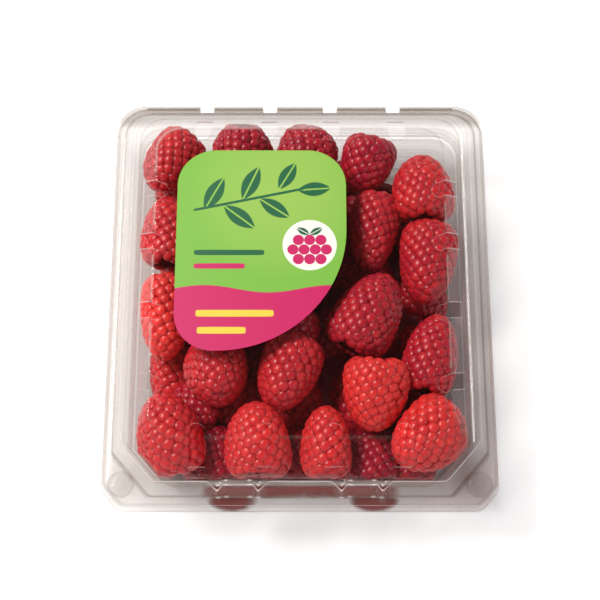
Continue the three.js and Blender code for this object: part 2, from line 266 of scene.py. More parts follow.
# The clear sheet of the tray and the lid: PET drawn over a mould, 0.4 mm thick, with round bends.
# Every level of either half is one outline, given by how far it lies in from the flange's edge.
lid_low, lid_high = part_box("lid")
tray_low, tray_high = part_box("tray")
HALF_WIDTH = lid_high.x / MM
FRONT = lid_low.y / MM
BACK = lid_high.y / MM
LID_TOP = lid_high.z / MM
FLANGE_TOP = LID_TOP - 16
LEDGE_TOP = FLANGE_TOP + 7
TRAY_FLANGE_TOP = tray_high.z / MM
SHEET = 0.4
FLANGE_CUT = 5.5
WALL_CUT = 13.6
FLANGE_ROUND = 9
WALL_ROUND = 8
CUT_STRETCH = 1.15
SLANT = math.atan(1 / CUT_STRETCH)
CUT_SHRINK = 1 - (1 - math.sin(SLANT)) / math.cos(SLANT)
SKIRT_DROP = 4.2
SKIRT_FLARE = 0.9
SNAP_CENTRES = (-18.7, 18.7)
SNAP_CORNERS = (3.6, 6.1)
SNAP_SLANT = 0.25
# How far the painted highlights at the snaps' corners reach
SPARK_REACH = 1.7
FRONT_STRIP = 6.5
CORNER_STEPS = 14

# Where these stand among the numbers of a level
SIDE, HEIGHT, LOW, PUSH = 0, 3, 7, 9


def arc(centre, radius, start, end, steps):
    turns = [math.radians(start + (end - start) * i / steps) for i in range(steps + 1)]
    return [(centre[0] + radius * math.cos(t), centre[1] + radius * math.sin(t)) for t in turns]


def line(start, end, steps):
    """Points between two others, without either of them."""
    a, b = Vector(start), Vector(end)
    return [tuple(a.lerp(b, i / steps)) for i in range(1, steps)]


def level(side, front, back, z, cut=WALL_CUT, rounded=WALL_ROUND, fillet=2.0, low=0.0, flare=0.0, push=0.0):
    """One level of the sheet, as the numbers its outline is drawn from."""
    return np.array([side, front, back, z, cut, rounded, fillet, low, flare, push], float)


def snap_push(x):
    """How far the front wall stands out at a snap: two corners with a flat between them."""
    reach = [0, 3.2, 4.6, 6.1, 9.2]
    stand = [1.0, 1.0, 0.9, 3.0, 0.0]
    return max(float(np.interp(abs(x - c), reach, stand)) for c in SNAP_CENTRES)


def notch(place):
    """How near a point of the sheet is to the sharp corners of a snap, from 0 to 1: where painted highlights
    go.
    """
    x, y = place.x / MM, place.y / MM
    near = min(abs(abs(x - centre) - corner) for centre in SNAP_CENTRES for corner in SNAP_CORNERS)
    return max(1 - near / SPARK_REACH, 0) if y < FRONT + FRONT_STRIP else 0


def outline(numbers):
    """The points of one level, anticlockwise from above, starting at the middle of the front."""
    side, front, back, z, cut, rounded, fillet, low, flare, push = numbers
    half = HALF_WIDTH - side
    front_y = FRONT + front
    back_y = BACK - back
    leg = max(cut - CUT_SHRINK * side, fillet)
    turn = math.degrees(SLANT)
    front_reach = fillet * math.tan(math.pi / 4 - SLANT / 2)
    side_reach = fillet * math.tan(SLANT / 2)
    lower = arc((half - leg - front_reach, front_y + fillet), fillet, -90, -turn, 5)
    upper = arc((half - fillet, front_y + leg * CUT_STRETCH + side_reach), fillet, -turn, 0, 5)
    corner = arc((half - rounded, back_y - rounded), rounded, 0, 90, CORNER_STEPS)
    front_run = line((0, front_y), lower[0], 90)
    side_run = line(upper[-1], corner[0], 24)
    back_run = line(corner[-1], (0, back_y), 30)
    right = [(x, y, 1) for x, y in [*front_run, *lower, *line(lower[-1], upper[0], 4), *upper, *side_run]]
    right += [(x, y, 1 - i / CORNER_STEPS) for i, (x, y) in enumerate(corner)]
    right += [(x, y, 0) for x, y in back_run]
    left = [(-x, y, drop) for x, y, drop in reversed(right)]
    points = []
    for x, y, drop in [(0, front_y, 1), *right, (0, back_y, 0), *left]:
        bulge = push * snap_push(x) if y < front_y + 0.01 else 0
        wide = x * (1 + flare * drop / half)
        deep = y * (1 - flare * drop / front_y) - bulge
        points.append(Vector((wide, deep, z - low * drop - SNAP_SLANT * bulge)) * MM)
    return points


def soften(levels, bends, steps=4, most=0.45):
    """Puts a round bend at every level between the first and last. A bend is a radius and two tones,
    at the sides and at the front, from -1 for a dark line of painted shade to 1 for a bright line of
    painted highlight. It takes up to the given share of the stretches beside it."""
    made = [(levels[0], 0.0, np.zeros(2))]
    for before, here, after, (radius, *tones) in zip(levels, levels[1:], levels[2:], bends):
        reach_in = np.linalg.norm((here - before)[[SIDE, HEIGHT]])
        reach_out = np.linalg.norm((after - here)[[SIDE, HEIGHT]])
        start = here + (before - here) * min(radius / reach_in, most)
        end = here + (after - here) * min(radius / reach_out, most)
        for i in range(steps + 1):
            t = i / steps
            point = start * (1 - t) ** 2 + here * 2 * t * (1 - t) + end * t**2
            amount = math.sin(math.pi * t)
            made.append((point, amount, amount * np.array(tones)))
    made.append((levels[-1], 0.0, np.zeros(2)))
    return made


def sheet(levels, bends):
    """A sheet drawn through the levels: the first outline is pulled on, level by level."""
    bm = bmesh.new()
    bend, line_tone, run, spark = (bm.verts.layers.float.new(n) for n in ("bend", "line", "run", "spark"))
    softened = soften(levels, bends)
    verts = [bm.verts.new(p) for p in outline(softened[0][0])]
    edges = [bm.edges.new((verts[i - 1], verts[i])) for i in range(len(verts))]
    drawn = 0.0
    for (last, _, _), (numbers, amount, tones) in zip(softened, softened[1:]):
        made = bmesh.ops.extrude_edge_only(bm, edges=edges)["geom"]
        verts = [g for g in made if isinstance(g, bmesh.types.BMVert)]
        edges = [g for g in made if isinstance(g, bmesh.types.BMEdge)]
        step = numbers - last
        drawn += max(np.linalg.norm(step[[SIDE, HEIGHT]]), np.linalg.norm(step[[SIDE, LOW]]))
        for vert, place in zip(verts, outline(numbers)):
            vert.co = place
            # Where the sheet bends, its finish paints grey shade; the line tones paint dark lines of shade
            # and bright highlights
            vert[bend] = amount
            vert[line_tone] = np.interp(place.y / MM, (FRONT + 18, FRONT + 30), tones[::-1])
            vert[run] = drawn
            # Painted highlights at the snaps' sharp corners
            vert[spark] = notch(place) * amount * (numbers[PUSH] > 0)
    bmesh.ops.contextual_create(bm, geom=edges)
    return bm


def draw_out(bm, face, way):
    """Draws a flat face out into a block, and gives back the corners of the end that moved."""
    made = bmesh.ops.extrude_face_region(bm, geom=[face])["geom"]
    moved = [g for g in made if isinstance(g, bmesh.types.BMVert)]
    bmesh.ops.translate(bm, verts=moved, vec=way)
    return moved


def slot_cutter(bm, width, inner, length, skew, turn, place, low, high):
    """A slot with one round end, cut outwards from its inner end, then turned into place."""
    half = width / 2
    shape = arc((0, inner + half), half, 180, 360, 12)
    shape += [(half + skew, inner + length), (-half + skew, inner + length)]
    verts = [bm.verts.new((x, y, 0)) for x, y in shape]
    tops = draw_out(bm, bm.faces.new(verts), (0, 0, high - low))
    turned = Matrix.Rotation(math.radians(turn), 4, "Z")
    matrix = Matrix.Scale(MM, 4) @ Matrix.Translation((*place, low)) @ turned
    bmesh.ops.transform(bm, matrix=matrix, verts=verts + tops)


def turn_outwards(bm, up):
    """Faces a sheet outwards, by its largest face: the lid's panel looks up, the tray's floor down."""
    largest = max(bm.faces, key=lambda face: face.calc_area())
    if (largest.normal.z > 0) != up:
        bmesh.ops.reverse_faces(bm, faces=bm.faces)


SHARP = math.radians(32)


def finish_sheet(name, bm, cutters, materials):
    """Gives the sheet its thickness on the inner side, cuts the holes and marks the sharp edges."""
    blank = finished_piece(name + "_blank", mesh_of(bm, name + "_blank"), *materials)
    thick = blank.modifiers.new("thickness", "SOLIDIFY")
    thick.thickness = SHEET * MM
    thick.offset = -1
    thick.material_offset_rim = 1
    bmesh.ops.recalc_face_normals(cutters, faces=cutters.faces)
    for face in cutters.faces:
        face.material_index = 1
    knife = finished_piece(name + "_knife", mesh_of(cutters, name + "_knife"), *materials)
    cut = blank.modifiers.new("holes", "BOOLEAN")
    cut.object = knife
    cut.solver = "EXACT"
    bpy.context.view_layer.update()
    ready = blank.evaluated_get(bpy.context.evaluated_depsgraph_get())
    mesh = bpy.data.meshes.new_from_object(ready)
    mesh.name = name
    bpy.data.objects.remove(blank)
    bpy.data.objects.remove(knife)
    shaped = bmesh.new()
    shaped.from_mesh(mesh)
    smooth(shaped)
    for edge in shaped.edges:
        edge.smooth = len(edge.link_faces) == 2 and edge.calc_face_angle(0) < SHARP
    shaped.to_mesh(mesh)
    shaped.free()
    piece = bpy.data.objects.new(name, mesh)
    scene.collection.objects.link(piece)
    return piece


def clear_sheet_finish(name, haziness=1.0):
    """Clear plastic: see-through face on, mirror-like at a slant. It greys where it bends, as painted shade,
    has painted dark and bright lines along some bends, fine lines along its walls where it was drawn down,
    and painted highlights at the snaps' sharp corners. It is painted darker and pinker on the right front,
    as shade with the berries' red seen through, and the tray's front flange carries a painted reflection
    of the berries' red. Less haziness makes a clearer sheet."""
    finish = Finish(name)
    bend, line_tone, run, spark = (finish.attribute(n) for n in ("bend", "line", "run", "spark"))
    facing = finish.add("LayerWeight", {}, {"Blend": 0.5}, "Facing")
    upright = finish.add("SeparateXYZ", {}, {0: finish.add("NewGeometry", {}, {}, "Normal")}, 2)

    # Where a point of the pack is, in millimetres to the right, to the front, to the back and up
    across, deep, up = (finish.add("SeparateXYZ", {}, {0: finish.place()}, i) / MM for i in range(3))
    forward = 0 - deep
    low = 1 - up.rise(30.5, 2.5)
    right_side = across.rise(0, 50)
    # Painted shade: the right front of the sheet is darker and pinker, on the side away from the light, with
    # the berries' red seen through
    painted_shade_side = right_side * (1 - deep.rise(-10, 40))
    hinge_side = deep.rise(60.5, 2.5) * low

    # A painted reflection of the berries' red in the tray's front flange: along the wall, and in a spot near
    # either snap
    tray_front = forward.rise(60.2, 1.25) * (1 - up.rise(27, 0.05))
    outer_flange = forward.rise(63.8, 1)
    along_wall = (1 - abs(across).rise(26, 5)) * (1 - outer_flange)
    from_spot = (abs(across - 1) - 21.6) / 8
    from_spot_middle = (deep + 65.4) / 2.6
    spots = ((1 - from_spot * from_spot - from_spot_middle * from_spot_middle) * 1.6).clamp()
    blotch = (finish.noise(6 * MM) * 2 + 0.05).clamp()
    painted_red = tray_front * (along_wall + spots * outer_flange) * blotch

    # See-through and mirror-like
    ripple = finish.bump(finish.noise(9 * MM, 3.0), 0.12 * MM, 0.6)
    mirror_values = {"Base Color": (0.97, 0.97, 0.97), "Metallic": 1.0, "Roughness": 0.07}
    mirror = finish.shine({**mirror_values, "Normal": ripple})
    clear = finish.add("BsdfTransparent", {}, {"Color": (0.958, 0.951, 0.945)})
    glint = ((facing**5 * 0.45 + 0.006) * (1 - bend * 0.7)).clamp()
    gloss = finish.add("MixShader", {}, {0: glint, 1: clear, 2: mirror})

    # The tone of what isn't clear: grey, painted darker and pinker as shade on the right front, the painted
    # red of the front flange, and painted shade and highlights on the lines
    painted_highlight = (line_tone.clamp() ** 5 + spark**2).clamp()
    painted_shade = (0 - line_tone).clamp() ** 3
    tone = finish.mix(finish.noise(14 * MM), (0.36, 0.31, 0.265), (0.48, 0.42, 0.37))
    tone = finish.mix(painted_shade_side, tone, (0.30, 0.17, 0.145))
    tone = finish.mix((painted_red * 2).clamp(), tone, (0.19, 0.018, 0.018))
    tone = finish.mix(painted_shade, tone, (0.13, 0.09, 0.08))
    tone = finish.mix(painted_highlight, tone, (1.0, 0.93, 0.9))
    body = finish.shine({"Base Color": tone, "Roughness": 0.45, "Specular IOR Level": 0.2, "Normal": ripple})

    # How much of it there is: along bends and lines as painted shade and highlights, in the drawn walls, and
    # as a faint haze, with more painted shade on the right front and at a slant
    steep = 1 - abs(upright).rise(0.25, 0.2)
    streak = finish.add("TexNoise", {"noise_dimensions": "1D"}, {"W": run * 1.1, "Detail": 3.0})
    drawn = ((streak - 0.52) * 7).clamp() * steep * (right_side * 0.25 + 0.35)
    bends = bend * (low * 0.1 + 0.04)
    haze = low * (painted_shade_side * 0.05 + 0.045) + hinge_side * 0.24 + facing**4 * 0.06 + 0.003
    grey = (bends + painted_shade * 0.45 + painted_highlight * 0.6 + drawn + haze * haziness + painted_red * 0.9).clamp()
    return finish.show(finish.add("MixShader", {}, {0: grey, 1: gloss, 2: body}))


EDGE_SHARE = 0.62


def cut_edge_finish(name):
    """The sheared edge of the sheet, painted paler and less clear than its face, as a painted highlight where
    light gathers.
    """
    finish = Finish(name)
    tone = finish.mix(finish.noise(3 * MM), (0.85, 0.79, 0.77), (1.0, 0.97, 0.95))
    body = finish.shine({"Base Color": tone, "Roughness": 0.15})
    clear = finish.add("BsdfTransparent", {}, {"Color": (0.98, 0.98, 0.98)})
    return finish.show(finish.add("MixShader", {}, {0: EDGE_SHARE, 1: clear, 2: body}))


clear_sheet = clear_sheet_finish("clear_sheet")
cut_edge = cut_edge_finish("cut_edge")

END_VENTS = (-31, -10, 10, 31)
WINDOW_WIDTH = 4.4
WINDOW_DEPTH = 2.4
WINDOW_CUT = 6


def window_cutters(bm):
    """The four windows along the hinge, half in either flange."""
    for x in END_VENTS:
        made = bmesh.ops.create_cube(bm, size=1)["verts"]
        size = Matrix.Diagonal((WINDOW_WIDTH * MM, 2 * WINDOW_DEPTH * MM, WINDOW_CUT * MM, 1))
        place = Matrix.Translation(Vector((x, BACK + 0.15, FLANGE_TOP - 0.8)) * MM)
        bmesh.ops.transform(bm, matrix=place @ size, verts=made)


# The tray: a tapered tub with a raised middle to its floor, a wide flange round its mouth and a skirt
# that hangs from the flange's edge. One drawn sheet, which the lid's flange lies on.
FLANGE = {"cut": FLANGE_CUT, "rounded": FLANGE_ROUND, "fillet": 4.0}
tray_skin = TRAY_FLANGE_TOP - SHEET
tray_levels = [
    level(24, 24, 24, 2.0),
    level(21.8, 21.8, 21.8, 2.0),
    level(20, 20, 20, 0),
    level(13.4, 13.4, 13.4, 0),
    level(11.2, 11.2, 11.2, 2.4),
    level(8.9, 8.9, 8.9, 21.4),
    level(7.9, 7.9, 7.9, 22.4),
    level(7.6, 7.6, 7.6, tray_skin),
    level(0.6, 0.6, 0.6, tray_skin, **FLANGE),
    level(0.4, 0.4, 0.4, tray_skin, low=SKIRT_DROP, flare=SKIRT_FLARE, **FLANGE),
]
# Each bend: its radius, then the tone of its painted line at the sides and at the front, below 0 for painted
# shade, above 0 for a painted highlight
tray_bends = [
    (0.5, -0.6, -0.3),
    (0.7, 0, 0),
    (0.5, -0.7, -0.5),
    (0.5, 0, 0),
    (2.0, 0, 0),
    (2.0, 0, 0),
    (1.5, 0, 0),
    (1.5, 0, 0),
]
tray_bm = sheet(list(reversed(tray_levels)), tray_bends)
turn_outwards(tray_bm, up=False)
tray_cutters = bmesh.new()
window_cutters(tray_cutters)
tray_shell = finish_sheet("tray_shell", tray_bm, tray_cutters, (clear_sheet, cut_edge))
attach(tray_shell, "tray")
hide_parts("tray")

# The lid: a flange that lies on the tray's, a stepped wall with a ledge, and a slope with vents up to
# a flat panel. Drawn in one sheet with the tray and folded over at the back; snaps hold its front.
SIDE_VENTS = (30.5, 12.5, -10.5, -33.5)
VENT_WIDTH = 5.2
VENT_SKEW = 3.5
VENT_INWARD = 4.4
VENT_SPAN = (LEDGE_TOP - 2, LID_TOP + 9)
PANEL_SIDE = 14.6
PANEL_FRONT = 17.1
PANEL_BACK = 15.7
lid_levels = [
    level(0, 0, 0, FLANGE_TOP, **FLANGE),
    level(2.8, 2.8, 2.8, FLANGE_TOP, push=0.12),
    level(5.7, 5.7, 5.7, LEDGE_TOP, push=1.0),
    level(7.1, 7.1, 7.1, LEDGE_TOP, push=0.8),
    level(8.6, 7.8, 7.7, LEDGE_TOP - 0.6, push=0.3),
    level(PANEL_SIDE, PANEL_FRONT, PANEL_BACK, LID_TOP),
    level(17.0, 19.5, 18.1, LID_TOP),
]
# The lid's bends, as the tray's: a radius and the tones of their painted lines of shade and highlight
lid_bends = [(0.6, -0.8, -0.8), (0.6, -0.6, 1.0), (0.5, 0.5, -0.7), (0.5, -0.7, -0.3), (0.8, 0.9, 0.15)]
lid_bm = sheet(lid_levels, lid_bends)
turn_outwards(lid_bm, up=True)
lid_cutters = bmesh.new()
window_cutters(lid_cutters)
side_start = HALF_WIDTH - PANEL_SIDE - VENT_INWARD
back_start = BACK - PANEL_BACK - VENT_INWARD
front_start = -FRONT - PANEL_FRONT - VENT_INWARD
for y in SIDE_VENTS:
    for hand in (-1, 1):
        skew = hand * VENT_SKEW
        slot_cutter(lid_cutters, VENT_WIDTH, side_start, 9.2, skew, hand * 90, (0, y), *VENT_SPAN)
for x in END_VENTS:
    slot_cutter(lid_cutters, VENT_WIDTH, back_start, 9.6, 0, 0, (x, 0), *VENT_SPAN)
    slot_cutter(lid_cutters, VENT_WIDTH, front_start, 11.6, 0, 180, (x, 0), *VENT_SPAN)
lid_shell = finish_sheet("lid_shell", lid_bm, lid_cutters, (clear_sheet, cut_edge))
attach(lid_shell, "lid")
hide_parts("lid")

# The buttons on the lid's front corners: round dimples pressed up in the flange, one on each side,
# where a thumb pushes the two flanges together.
BUTTON_PLACE = (54.6, -60.6)
BUTTON_PROFILE = [(4.2, 0.02), (3.95, 0.5), (3.4, 0.9), (2.6, 1.12), (1.4, 1.19), (0, 1.2)]
# The dimple's rings carry lines of painted shade
BUTTON_TONES = [-0.4, -0.65, -0.2, 0, 0, 0]
BUTTON_SHEET = 0.35


def spin_profile(bm, verts, axis, steps):
    """Spins a row of points round an axis into a closed form."""
    edges = [bm.edges.new(pair) for pair in zip(verts, verts[1:])]
    turn = {"axis": axis, "cent": (0, 0, 0), "angle": math.tau, "steps": steps, "use_merge": True}
    bmesh.ops.spin(bm, geom=verts + edges, **turn)
    bmesh.ops.remove_doubles(bm, verts=bm.verts, dist=0.001)
    bmesh.ops.recalc_face_normals(bm, faces=bm.faces)


button_bm = bmesh.new()
button_bm.verts.layers.float.new("line")
for hand in (-1, 1):
    under = [(max(r - BUTTON_SHEET, 0), max(h - BUTTON_SHEET, 0.02)) for r, h in BUTTON_PROFILE]
    one = bmesh.new()
    one_line = one.verts.layers.float.new("line")
    verts = [one.verts.new((r, 0, h)) for r, h in [*reversed(under), *BUTTON_PROFILE]]
    for vert, tone in zip(verts, [*reversed(BUTTON_TONES), *BUTTON_TONES]):
        vert[one_line] = tone
    spin_profile(one, verts, (0, 0, 1), 36)
    place = Vector((hand * BUTTON_PLACE[0], BUTTON_PLACE[1], FLANGE_TOP)) * MM
    bmesh.ops.transform(one, matrix=Matrix.Translation(place) @ Matrix.Scale(MM, 4), verts=one.verts)
    smooth(one)
    mesh = mesh_of(one, "button")
    button_bm.from_mesh(mesh)
    bpy.data.meshes.remove(mesh)
button_sheet = clear_sheet_finish("button_sheet", haziness=0.15)
buttons = finished_piece("corner_buttons", mesh_of(button_bm, "corner_buttons"), button_sheet)
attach(buttons, "lid")

# The hinge: the strip of the same sheet that was left between the two flanges, folded in a half round
# behind them. The four windows part it into five bands.
HINGE_HALF = 51
HINGE_CLEAR = WINDOW_WIDTH / 2 + 0.3
HINGE_ENDS = (-HINGE_HALF, *[x + s * HINGE_CLEAR for x in END_VENTS for s in (-1, 1)], HINGE_HALF)
HINGE_INSET = 0.85
HINGE_LOW = Vector((BACK - HINGE_INSET, TRAY_FLANGE_TOP - SHEET / 2))
HINGE_HIGH = Vector((BACK - HINGE_INSET, FLANGE_TOP - SHEET / 2))
HINGE_BULGE = 0.75
HINGE_SHEET = 0.2
# The whole strip takes the grey that the sheet's finish paints at bends, as painted shade
HINGE_BEND = 0.8


def half_round(deep, high, start, end):
    """Half an oval behind the flanges, in the middle between them."""
    middle = (HINGE_LOW + HINGE_HIGH) / 2
    return [(middle.x + deep * y, middle.y + high * z) for y, z in arc((0, 0), 1, start, end, 12)]


hinge_rise = (HINGE_HIGH - HINGE_LOW).y / 2
hinge_bm = bmesh.new()
hinge_bend = hinge_bm.verts.layers.float.new("bend")
for low_x, high_x in zip(HINGE_ENDS[::2], HINGE_ENDS[1::2]):
    outer = half_round(HINGE_BULGE, hinge_rise, -90, 90)
    inner = half_round(HINGE_BULGE - HINGE_SHEET, hinge_rise - HINGE_SHEET, 90, -90)
    verts = [hinge_bm.verts.new(Vector((low_x, y, z)) * MM) for y, z in outer + inner]
    draw_out(hinge_bm, hinge_bm.faces.new(verts), ((high_x - low_x) * MM, 0, 0))
for vert in hinge_bm.verts:
    vert[hinge_bend] = HINGE_BEND
bmesh.ops.recalc_face_normals(hinge_bm, faces=hinge_bm.faces)
for face in hinge_bm.faces:
    face.smooth = len(face.verts) == 4
for edge in hinge_bm.edges:
    edge.smooth = edge.calc_face_angle(0) < SHARP
hinge = finished_piece("hinge_strip", mesh_of(hinge_bm, "hinge_strip"), clear_sheet)
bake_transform(hinge)

# The raspberries: thimbles of some hundred to two hundred drupelets on a thin cup, hollow where the
# stalk was. They lie in two layers, pressed against the sheet round them. Each drupelet is a blunt dome.
SPACING = 3.35
COARSE_SPACING = 3.8
HONEYCOMB = 0.866
DOME_STEPS = 2
DOME_BASE = (0, 0, -0.4)
GOLDEN_ANGLE = math.pi * (3 - math.sqrt(5))

dome_bm = bmesh.new()
dome_crown = dome_bm.verts.layers.float.new("crown")
dome_bm.verts.layers.float.new("ripeness")
bmesh.ops.create_icosphere(dome_bm, subdivisions=DOME_STEPS, radius=1)
everything = [*dome_bm.verts, *dome_bm.edges, *dome_bm.faces]
bmesh.ops.bisect_plane(dome_bm, geom=everything, plane_co=DOME_BASE, plane_no=(0, 0, -1), clear_outer=True)
bmesh.ops.edgeloop_fill(dome_bm, edges=[e for e in dome_bm.edges if e.is_boundary])
for vert in dome_bm.verts:
    vert[dome_crown] = vert.co.z
smooth(dome_bm)
dome = mesh_of(dome_bm, "dome")


def make_cup(half_length, radius_at, depth, ripeness):
    """The cup under the drupelets, spun round the berry's axis, with the stalk's hollow in it."""
    bm = bmesh.new()
    crown = bm.verts.layers.float.new("crown")
    ripe = bm.verts.layers.float.new("ripeness")
    outer = [(-math.cos(math.pi * i / 12) * half_length, i) for i in range(2, 12)]
    points = [(x + depth * 0.5 * (i < 4), max(radius_at(x / half_length) - depth, 0.3)) for x, i in outer]
    mouth = points[0]
    hollow = [(mouth[0] + 0.3, mouth[1] * 0.66), (mouth[0] + 3, mouth[1] * 0.56)]
    hollow += [(half_length * 0.15, mouth[1] * 0.36), (half_length * 0.34, 0)]
    profile = [*reversed(hollow), *points, (half_length - depth, 0)]
    verts = [bm.verts.new((x, r, 0)) for x, r in profile]
    spin_profile(bm, verts, (1, 0, 0), 14)
    for vert in bm.verts:
        # The whole cup takes the darkest tone, as painted shade under the drupelets
        vert[crown] = -1.0
        vert[ripe] = ripeness
    smooth(bm)
    return mesh_of(bm, "cup")


def make_berry(place, ripeness, spacing=SPACING):
    """One berry's mesh data in millimetres: a cup with drupelets wound round it in a golden spiral."""
    x, y, z, width, length, azimuth, lift = place
    draw = random.Random(int(1000 + 7 * x + 131 * y + 17 * z))
    half = length / 2
    wave = [draw.uniform(0, math.tau) for _ in range(3)]

    def radius_at(along):
        power = 3.0 if along < 0 else 2.1
        full = max(1 - abs(along) ** power, 0.0) ** (1 / power)
        return width / 2 * full * (1 - 0.16 * (along + 0.2))

    alongs = np.linspace(-0.95, 0.999, 240)
    radii = np.array([radius_at(a) for a in alongs])
    steps_x = np.diff(alongs * half)
    steps_r = np.diff(radii)
    lengths = np.hypot(steps_x, steps_r)
    areas = np.concatenate([[0], np.cumsum(lengths * (radii[1:] + radii[:-1]) * math.pi)])
    count = int(areas[-1] / (spacing**2 * HONEYCOMB))
    bm = bmesh.new()
    bm.verts.layers.float.new("crown")
    ripe = bm.verts.layers.float.new("ripeness")
    start = draw.uniform(0, math.tau)
    for i in range(count):
        area = (i + 0.5 + draw.uniform(-0.3, 0.3)) / count * areas[-1]
        along = float(np.interp(area, areas, alongs))
        angle = start + i * GOLDEN_ANGLE + draw.uniform(-0.05, 0.05)
        slope = (radius_at(along + 0.01) - radius_at(along - 0.01)) / (0.02 * half)
        normal = Vector((-slope, math.cos(angle), math.sin(angle))).normalized()
        uneven = 1 + 0.035 * math.sin(2 * angle + wave[0]) + 0.025 * math.sin(3 * angle + wave[1] + 2 * along)
        radius = radius_at(along) * uneven
        size = spacing * draw.uniform(0.58, 0.7)
        tall = size * draw.uniform(0.58, 0.76)
        centre = Vector((along * half, radius * math.cos(angle), radius * math.sin(angle))) - normal * tall
        turn = normal.to_track_quat("Z", "Y").to_matrix().to_4x4()
        matrix = Matrix.Translation(centre) @ turn @ Matrix.Diagonal((size, size, tall, 1))
        before = len(bm.verts)
        bm.from_mesh(dome)
        bm.verts.ensure_lookup_table()
        tone = ripeness + draw.uniform(-0.12, 0.12)
        for vert in bm.verts[before:]:
            vert.co = matrix @ vert.co
            vert[ripe] = tone
    cup = make_cup(half, radius_at, spacing * 0.36, ripeness - 0.1)
    bm.from_mesh(cup)
    bpy.data.meshes.remove(cup)
    stance = Matrix.Rotation(math.radians(azimuth), 4, "Z") @ Matrix.Rotation(math.radians(-lift), 4, "Y")
    bmesh.ops.transform(bm, matrix=Matrix.Translation((x, y, z)) @ stance, verts=bm.verts)
    return bm


# The room inside the pack: how far its walls are in from the flange's edge at some heights, and its
# floor, raised in the middle
ROOM_Z = [1.25, 3.1, 21.5, 22.6, 26.9, 30, 33.2, 42.8]
ROOM_SIDE = [14.3, 12.5, 10.2, 9.1, 8.6, 9.0, 9.9, 15.8]
ROOM_FRONT = [14.3, 12.5, 10.2, 9.1, 8.6, 9.0, 9.0, 18.3]
ROOM_BACK = [14.3, 12.5, 10.2, 9.1, 8.6, 9.0, 8.9, 16.9]
RAISED_FLOOR = 3.15
RAISED_BY = 2
RAISED_INSET = 21.3


def keep_inside(points):
    """Presses points in millimetres flat against the floor, the walls and the lid they would cross."""
    x, y, z = points.T
    in_from_edge = np.minimum(HALF_WIDTH - np.abs(x), y - FRONT)
    raised = RAISED_FLOOR - np.clip((RAISED_INSET - in_from_edge) / RAISED_BY, 0, 1) * RAISED_BY
    z = np.clip(z, np.maximum(raised, ROOM_Z[0]), ROOM_Z[-1])
    half = HALF_WIDTH - np.interp(z, ROOM_Z, ROOM_SIDE)
    front = FRONT + np.interp(z, ROOM_Z, ROOM_FRONT)
    back = BACK - np.interp(z, ROOM_Z, ROOM_BACK)
    x = np.clip(x, -half, half)
    y = np.clip(y, front, back)
    leg = np.maximum(WALL_CUT - CUT_SHRINK * (HALF_WIDTH - half), 2.0)
    over = np.maximum((np.abs(x) - (half - leg)) + (front - y) / CUT_STRETCH, 0)
    x = x - np.sign(x) * over / 2
    y = y + over / 2 * CUT_STRETCH
    past_x = np.maximum(np.abs(x) - (half - WALL_ROUND), 0)
    past_y = np.maximum(y - (back - WALL_ROUND), 0)
    pull = np.minimum(WALL_ROUND / np.maximum(np.hypot(past_x, past_y), 1e-6), 1)
    pull = np.where((past_x > 0) & (past_y > 0), pull, 1)
    x = np.where(pull < 1, np.sign(x) * (half - WALL_ROUND + past_x * pull), x)
    y = np.where(pull < 1, back - WALL_ROUND + past_y * pull, y)
    return np.stack([x, y, z], 1)


def make_berries(name, places, material, spacing=SPACING):
    """Several berries as one piece, pressed into the room inside the pack."""
    heap = bmesh.new()
    heap.verts.layers.float.new("crown")
    heap.verts.layers.float.new("ripeness")
    for place in places:
        berry = mesh_of(make_berry(place[:7], place[7], spacing), "berry")
        heap.from_mesh(berry)
        bpy.data.meshes.remove(berry)
    mesh = mesh_of(heap, name)
    points = np.empty(len(mesh.vertices) * 3)
    mesh.vertices.foreach_get("co", points)
    points = keep_inside(points.reshape(-1, 3)) * MM
    mesh.vertices.foreach_set("co", points.ravel())
    mesh.update()
    piece = finished_piece(name, mesh, material)
    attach(piece, "tray")
    return piece


berry_finish = Finish("raspberry_skin")
ripe = berry_finish.attribute("ripeness")
crown = berry_finish.attribute("crown")
# Each drupelet is darker down at its base, painted shade in the pits between drupelets, and lighter on its
# crown, partly its bloom
skin = berry_finish.mix(ripe, (0.38, 0.004, 0.026), (0.95, 0.046, 0.036))
pit = berry_finish.mix(ripe, (0.20, 0.002, 0.015), (0.60, 0.014, 0.018))
mottle = berry_finish.noise(1.6 * MM, 3.0)
lit = (crown * 0.8 + 0.3 + (mottle - 0.5) * 0.35).clamp()
tone = berry_finish.mix(lit, pit, skin)
grain = berry_finish.bump(berry_finish.noise(0.6 * MM), 0.04 * MM, 0.4)
raspberry_skin = berry_finish.show(
    berry_finish.shine(
        {
            "Base Color": tone,
            "Roughness": 0.31,
            "Specular IOR Level": 0.42,
            "Subsurface Weight": 0.35,
            "Subsurface Radius": (1.0, 0.16, 0.14),
            "Subsurface Scale": 1.8 * MM,
            "Normal": grain,
        }
    )
)

